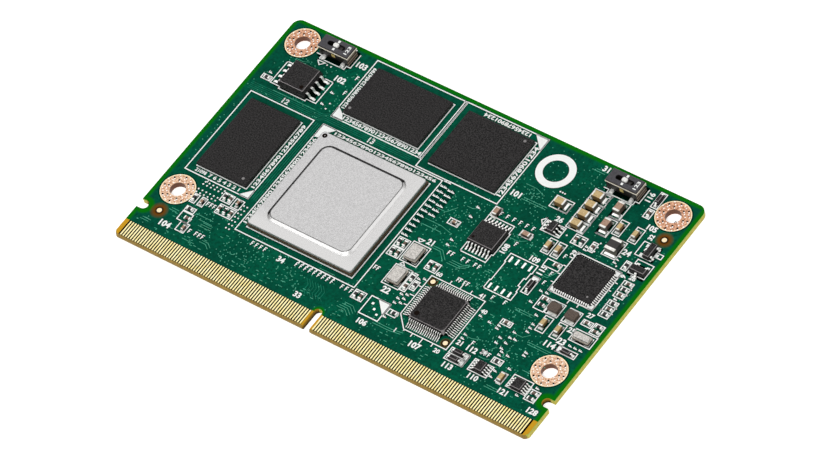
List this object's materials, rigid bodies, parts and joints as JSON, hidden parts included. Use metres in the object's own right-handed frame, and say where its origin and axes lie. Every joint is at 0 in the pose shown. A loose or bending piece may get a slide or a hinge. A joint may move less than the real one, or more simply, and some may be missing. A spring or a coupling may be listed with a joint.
{
  "type": "system on module",
  "caption": "Populated processor circuit board with a contact card edge, screw holes at its corners, a metal-capped processor, memory chips and slide switches.",
  "frame": {"origin": "middle of the board's outline, on the lowest face of the contacts and screw pads underneath", "axes": "+X along the contact card edge with the key slot left of the middle, +Y away from the card edge, +Z out of the populated face"},
  "size_m": [0.082, 0.05, 0.0039],
  "materials": {
    "board": "satin solder mask",
    "substrate": "matt laminate",
    "silicon": "polished",
    "lid": "satin nickel plate",
    "mould": "matt moulded epoxy",
    "capacitor": "satin fired ceramic with tinned ends",
    "inductor": "matt pressed ferrite",
    "crystal_base": "matt ceramic",
    "crystal_lid": "satin",
    "switch_base": "matt moulded",
    "switch_cover": "satin moulded",
    "switch_lever": "satin moulded"
  },
  "bodies": {
    "module": {"circuit_board": "board", "processor_substrate": "substrate", "processor_die": "silicon", "processor_lid": "lid", "memory_left": "mould", "memory_rear": "mould", "storage_chip": "mould", "power_manager": "mould", "boot_flash": "mould", "interface_chip": "mould", "controller_chip": "mould", "transistor_array": "mould", "protection_left": "mould", "protection_right": "mould", "transistor_lower": "mould", "transistor_upper": "mould", "diode_front_left": "mould", "diode_front_right": "mould", "diode_right": "mould", "diode_middle": "mould", "diode_rear": "mould", "capacitor_rear_1": "capacitor", "capacitor_rear_2": "capacitor", "capacitor_rear_3": "capacitor", "capacitor_rear_4": "capacitor", "capacitor_rear_5": "capacitor", "capacitor_rear_6": "capacitor", "capacitor_rear_7": "capacitor", "capacitor_small_1": "capacitor", "capacitor_small_2": "capacitor", "capacitor_small_3": "capacitor", "capacitor_small_4": "capacitor", "capacitor_small_5": "capacitor", "capacitor_small_6": "capacitor", "capacitor_small_7": "capacitor", "capacitor_small_8": "capacitor", "capacitor_small_9": "capacitor", "capacitor_tiny_1": "capacitor", "capacitor_tiny_2": "capacitor", "capacitor_tiny_3": "capacitor", "capacitor_tiny_4": "capacitor", "inductor_rear": "inductor", "inductor_left": "inductor", "inductor_right": "inductor", "crystal_upper_base": "crystal_base", "crystal_upper_lid": "crystal_lid", "crystal_lower_base": "crystal_base", "crystal_lower_lid": "crystal_lid", "crystal_right_base": "crystal_base", "crystal_right_lid": "crystal_lid", "switch_left_base": "switch_base", "switch_left_cover": "switch_cover", "switch_right_base": "switch_base", "switch_right_cover": "switch_cover"},
    "switch_left_lever": {"switch_left_lever": "switch_lever"},
    "switch_right_lever": {"switch_right_lever": "switch_lever"}
  },
  "joints": [
    {"name": "switch_left_slide", "type": "slide", "parent": "module", "child": "switch_left_lever", "axis": [1, 0, 0], "range_m": [-0.0012, 0.0012]},
    {"name": "switch_right_slide", "type": "slide", "parent": "module", "child": "switch_right_lever", "axis": [1, 0, 0], "range_m": [-0.0012, 0.0012]}
  ]
}
